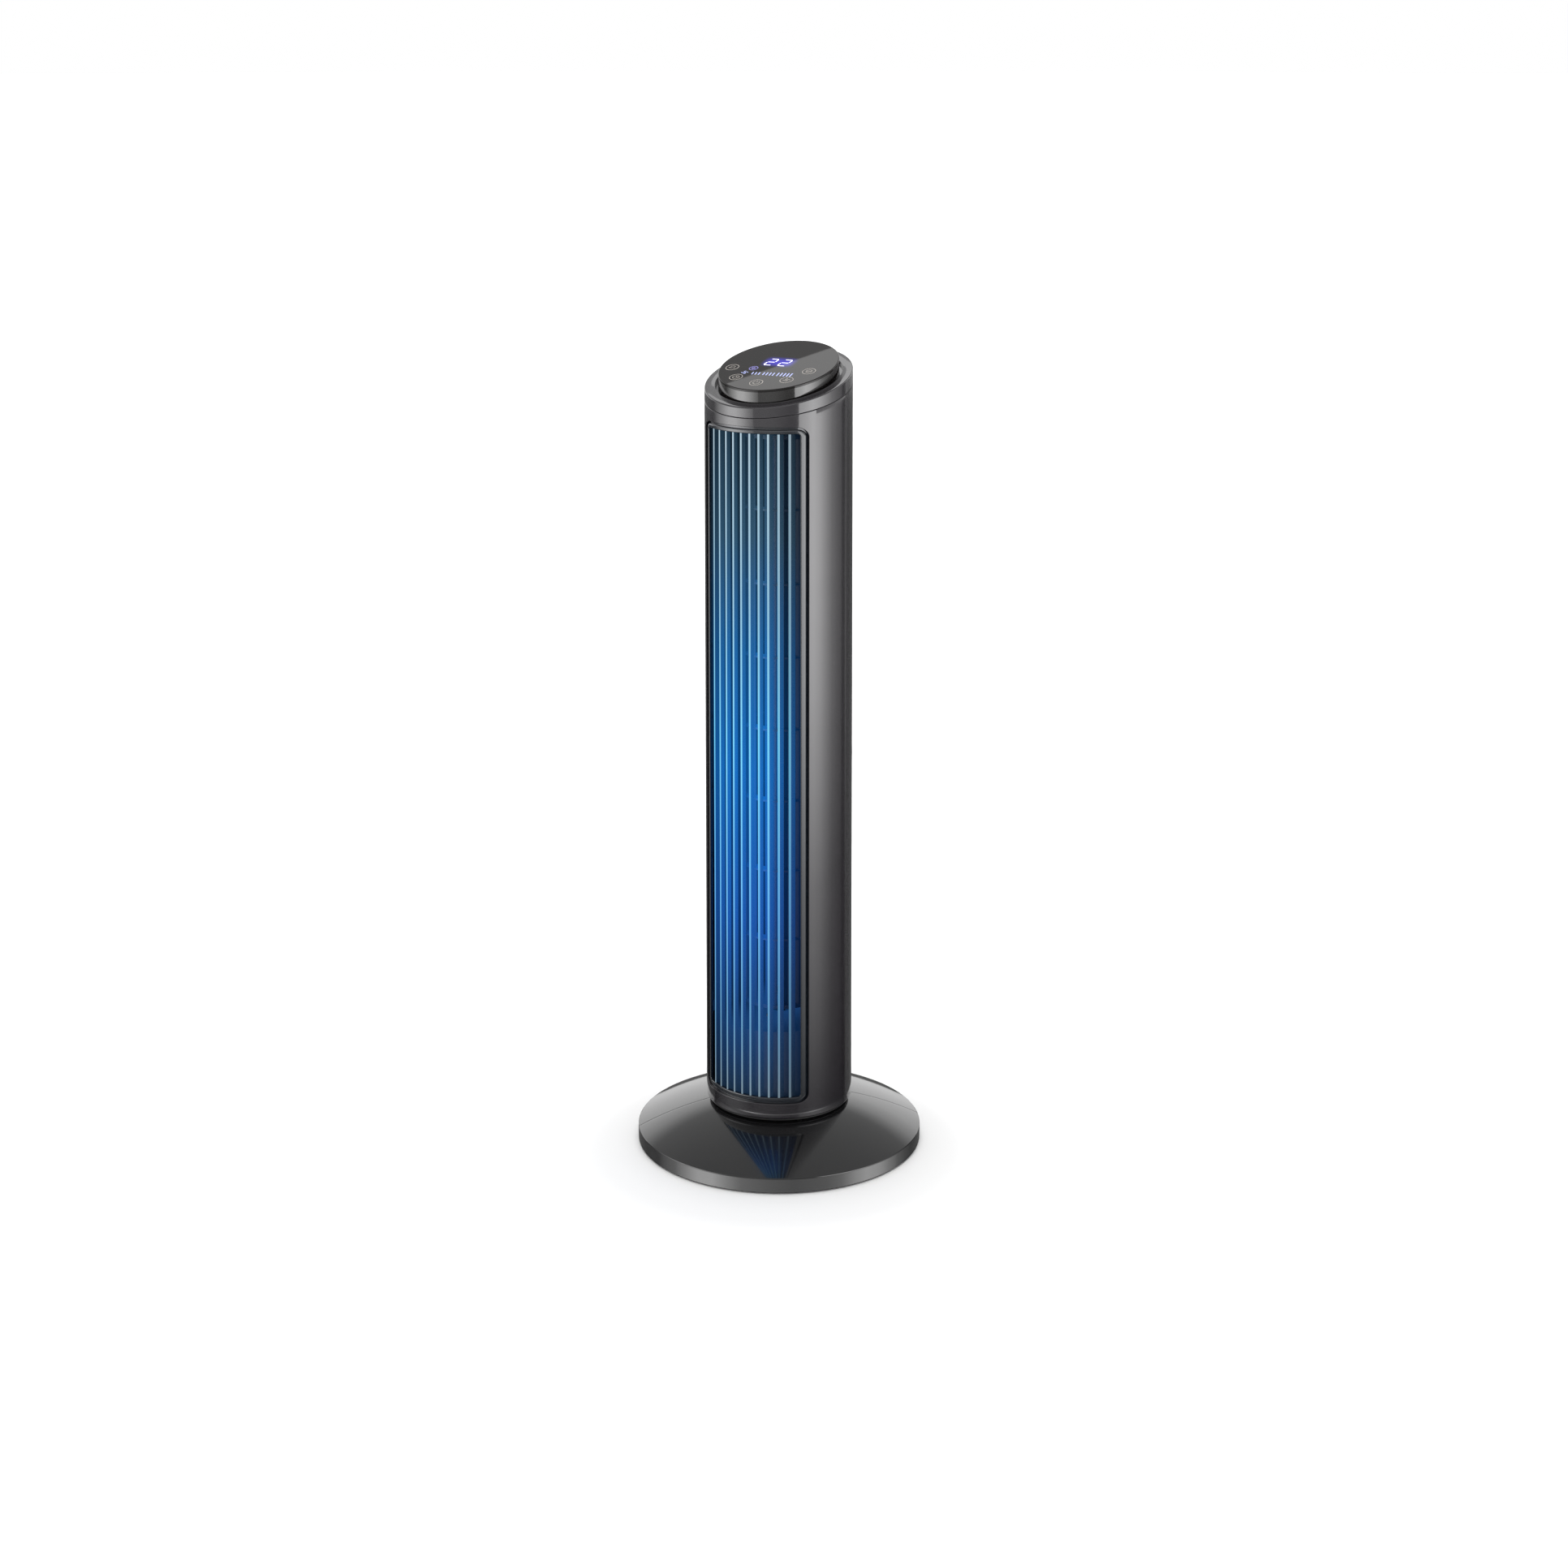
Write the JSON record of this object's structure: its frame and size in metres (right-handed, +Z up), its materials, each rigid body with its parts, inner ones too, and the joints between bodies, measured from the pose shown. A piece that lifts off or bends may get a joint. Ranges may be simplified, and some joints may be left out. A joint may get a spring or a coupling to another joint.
{
  "type": "tower fan",
  "caption": "Floor-standing tower fan: a tapering column with a tall outlet grille and a slanted touch panel, swinging on a weighted round base, with a crossflow impeller inside.",
  "frame": {"origin": "centre of the round base on the surface that it stands on", "axes": "+Z up along the column; the column's outlet faces -Y at rest, and the base's own front is turned 33.75 degrees from that towards +X"},
  "size_m": [0.32, 0.32, 0.8929],
  "materials": {
    "column_gloss": "dark gunmetal gloss",
    "base_gloss": "near-black high gloss",
    "panel_gloss": "smoked high gloss",
    "grille_satin": "satin silver-grey",
    "intake_satin": "satin dark grey",
    "duct_blue": "satin blue",
    "impeller_blue": "satin translucent-looking blue",
    "inner_black": "moulded black",
    "white_nylon": "natural nylon",
    "clear_cord": "grey sleeve",
    "steel": "turned",
    "zinc": "zinc plated",
    "iron": "painted black",
    "bronze": "sintered",
    "rubber": "matt",
    "board_green": "solder mask",
    "light_blue": "lit display segment face",
    "motor_can": "zinc-rich paint"
  },
  "bodies": {
    "base": {"base_front_shell": "base_gloss", "base_rear_shell": "base_gloss", "base_weight": "iron", "base_feet": "rubber", "base_screws": "zinc", "cord_gland": "rubber", "pedestal": "inner_black", "swivel_washer": "white_nylon", "oscillation_gear": "white_nylon", "gear_lock_ring": "zinc"},
    "column": {"column_base_plate": "inner_black", "swivel_bush": "bronze", "base_plate_screws": "zinc", "front_housing": "column_gloss", "rear_housing": "column_gloss", "housing_screws": "zinc", "outlet_grille": "grille_satin", "intake_grille": "intake_satin", "top_cap": "column_gloss", "control_housing": "panel_gloss", "touch_panel": "panel_gloss", "display_board": "board_green", "digit_display": "light_blue", "level_light_bar": "light_blue", "touch_pads": "rubber", "remote_receiver": "inner_black", "voice_microphone": "zinc", "panel_screws": "zinc", "stepper_bracket": "inner_black", "stepper_motor": "motor_can", "stepper_screws": "zinc", "motor_shield": "duct_blue", "lower_bulkhead": "duct_blue", "upper_bulkhead": "duct_blue", "bearing_seat": "rubber", "top_bearing": "bronze", "duct_volute": "duct_blue", "duct_tongue": "duct_blue", "motor_housing": "motor_can", "motor_cover": "motor_can", "motor_stator": "motor_can", "motor_bearings": "bronze", "motor_mounts": "rubber", "motor_screws": "zinc", "power_board": "board_green", "power_board_parts": "inner_black", "power_board_screws": "zinc", "wire_harness": "clear_cord"},
    "impeller": {"impeller": "impeller_blue", "impeller_hub": "white_nylon", "impeller_top_pin": "steel", "motor_shaft": "steel", "motor_rotor": "motor_can"},
    "swing_pinion": {"oscillation_pinion": "white_nylon", "stepper_shaft": "steel"}
  },
  "joints": [
    {"name": "column_swing", "type": "hinge", "parent": "base", "child": "column", "pos_m": [0, 0, 0.056], "axis": [0, 0, 1], "range_deg": [-11.25, 78.75]},
    {"name": "impeller_spin", "type": "hinge", "parent": "column", "child": "impeller", "pos_m": [0, 0.006, 0.487], "axis": [0, 0, 1], "continuous": true},
    {"name": "pinion_spin", "type": "hinge", "parent": "column", "child": "swing_pinion", "pos_m": [0, -0.04, 0.064], "axis": [0, 0, 1], "range_deg": [-46, 316]}
  ],
  "couplings": [
    {"joint": "pinion_spin", "follows": "column_swing", "ratio": 4}
  ]
}
